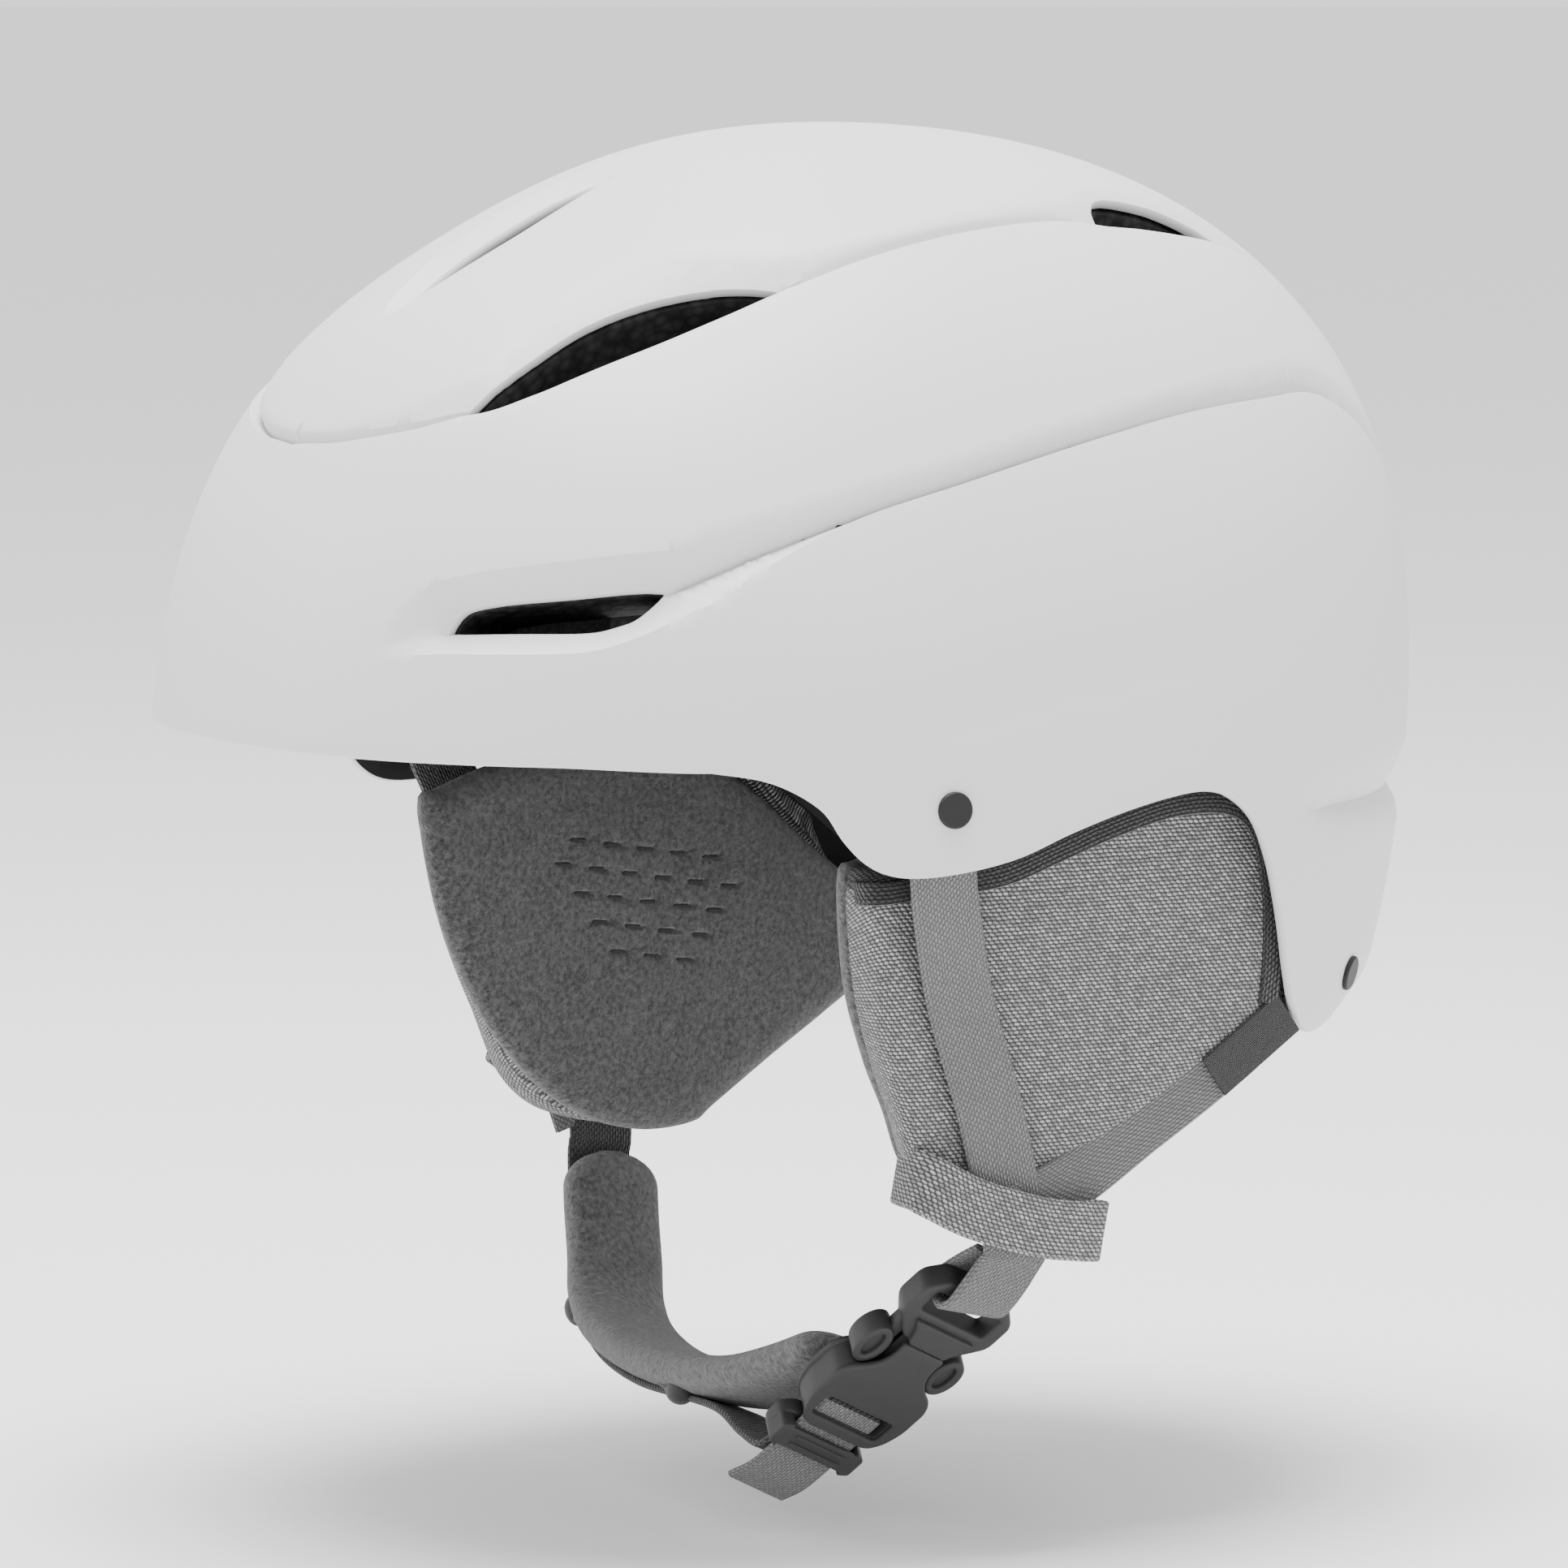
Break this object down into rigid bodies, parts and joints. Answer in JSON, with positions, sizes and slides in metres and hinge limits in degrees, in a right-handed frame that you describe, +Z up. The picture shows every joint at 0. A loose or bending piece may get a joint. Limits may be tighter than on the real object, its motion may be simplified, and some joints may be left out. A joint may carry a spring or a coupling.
{
  "type": "ski helmet",
  "caption": "Vented hard-shell ski helmet with foam liner, soft ear pads, dial fit system and buckled, padded chin strap, for an adult head.",
  "frame": {"origin": "midpoint of the wearer's ear axis, inside the open head cavity", "axes": "+X to the wearer's left, -Y forward past the brow, +Z up through the crown"},
  "size_m": [0.2162, 0.2696, 0.2846],
  "materials": {
    "shell_white": "matte",
    "foam_black": "beaded foam",
    "liner_fabric": "brushed knit",
    "rivet_grey": "matte",
    "steel": "satin",
    "ear_textile": "coarse two-tone weave",
    "piping": "folded tape",
    "black_plastic": "satin",
    "soft_foam": "open-cell foam",
    "fleece": "fleece",
    "tab_black": "woven label without lettering",
    "webbing": "ribbed webbing",
    "elastic": "braided elastic",
    "buckle_plastic": "moulded acetal",
    "retainer_white": "satin"
  },
  "bodies": {
    "helmet": {"outer_shell": "shell_white", "foam_liner": "foam_black", "brow_pad": "liner_fabric", "crown_pad": "liner_fabric", "side_pad_left": "liner_fabric", "side_pad_right": "liner_fabric", "nape_pad": "liner_fabric", "strap_rivets": "rivet_grey", "rivet_washers": "steel", "ear_pad_cover_left": "ear_textile", "ear_pad_piping_left": "piping", "ear_pad_stiffener_left": "black_plastic", "ear_pad_foam_left": "soft_foam", "ear_pad_fleece_left": "fleece", "ear_pad_tab_left": "tab_black", "ear_pad_clips": "black_plastic", "strap_ends_left": "webbing", "strap_ends_right": "webbing", "front_strap_left": "webbing", "rear_strap_left": "webbing", "strap_keeper_left": "ear_textile", "chin_strap_left": "webbing", "buckle_insert": "buckle_plastic", "cradle_bracket": "black_plastic", "temple_anchors": "black_plastic", "retainer_base": "retainer_white", "retainer_pin": "steel", "retainer_stud": "retainer_white"},
    "right_flap": {"ear_pad_cover_right": "ear_textile", "ear_pad_piping_right": "piping", "ear_pad_stiffener_right": "black_plastic", "ear_pad_foam_right": "soft_foam", "ear_pad_fleece_right": "fleece", "ear_pad_tab_right": "tab_black", "front_strap_right": "webbing", "rear_strap_right": "webbing", "strap_keeper_right": "ear_textile", "chin_strap_right": "webbing", "chin_pad": "fleece", "chin_pad_elastics": "elastic", "buckle_socket": "buckle_plastic", "strap_adjuster": "buckle_plastic"},
    "strap_tail": {"strap_tail": "webbing"},
    "release_arm_front": {"release_arm_front": "buckle_plastic"},
    "release_arm_rear": {"release_arm_rear": "buckle_plastic"},
    "cradle": {"cradle_housing": "black_plastic", "cradle_plate": "black_plastic", "cradle_pad": "liner_fabric"},
    "dial": {"fit_dial": "black_plastic", "dial_pinion": "black_plastic", "dial_screw": "steel"},
    "belt_left": {"fit_belt_left": "black_plastic"},
    "belt_right": {"fit_belt_right": "black_plastic"},
    "goggle_retainer": {"goggle_retainer": "retainer_white"}
  },
  "joints": [
    {"name": "right_flap_swing", "type": "hinge", "parent": "helmet", "child": "right_flap", "pos_m": [-0.095, 0.008, 0.038], "axis": [-0.1564, 0.9244, -0.3479], "range_deg": [0, 12]},
    {"name": "strap_tail_slide", "type": "slide", "parent": "right_flap", "child": "strap_tail", "axis": [-0.6597, -0.3599, -0.6597], "range_m": [-0.002, 0.012]},
    {"name": "release_arm_press", "type": "hinge", "parent": "helmet", "child": "release_arm_front", "pos_m": [0.06782, -0.01269, -0.06917], "axis": [0.7504, -0.2684, -0.604], "range_deg": [0, 7], "stiffness_Nm_per_rad": 0.5},
    {"name": "release_arm_rear_press", "type": "hinge", "parent": "helmet", "child": "release_arm_rear", "pos_m": [0.06723, 0.00054, -0.07578], "axis": [0.7504, -0.2684, -0.604], "range_deg": [-7, 0], "stiffness_Nm_per_rad": 0.5},
    {"name": "fit_dial_turn", "type": "hinge", "parent": "cradle", "child": "dial", "pos_m": [0, 0.0965, -0.012], "axis": [0, -1, 0], "range_deg": [0, 150]},
    {"name": "cradle_slide", "type": "slide", "parent": "helmet", "child": "cradle", "axis": [0, -1, 0], "range_m": [0, 0.00688]},
    {"name": "belt_left_swing", "type": "hinge", "parent": "helmet", "child": "belt_left", "pos_m": [0.0747, -0.042, 0.0485], "axis": [0, 0, 1], "range_deg": [0, 5.9]},
    {"name": "belt_right_swing", "type": "hinge", "parent": "helmet", "child": "belt_right", "pos_m": [-0.0747, -0.042, 0.0485], "axis": [0, 0, -1], "range_deg": [0, 5.9]},
    {"name": "goggle_retainer_open", "type": "hinge", "parent": "helmet", "child": "goggle_retainer", "pos_m": [0, 0.13814, 0.052], "axis": [1, 0, 0], "range_deg": [0, 75]}
  ],
  "couplings": [
    {"joint": "fit_dial_turn", "follows": "cradle_slide", "rad_per_m": 380.52},
    {"joint": "belt_left_swing", "follows": "cradle_slide", "rad_per_m": 14.709},
    {"joint": "belt_right_swing", "follows": "cradle_slide", "rad_per_m": 14.709}
  ]
}
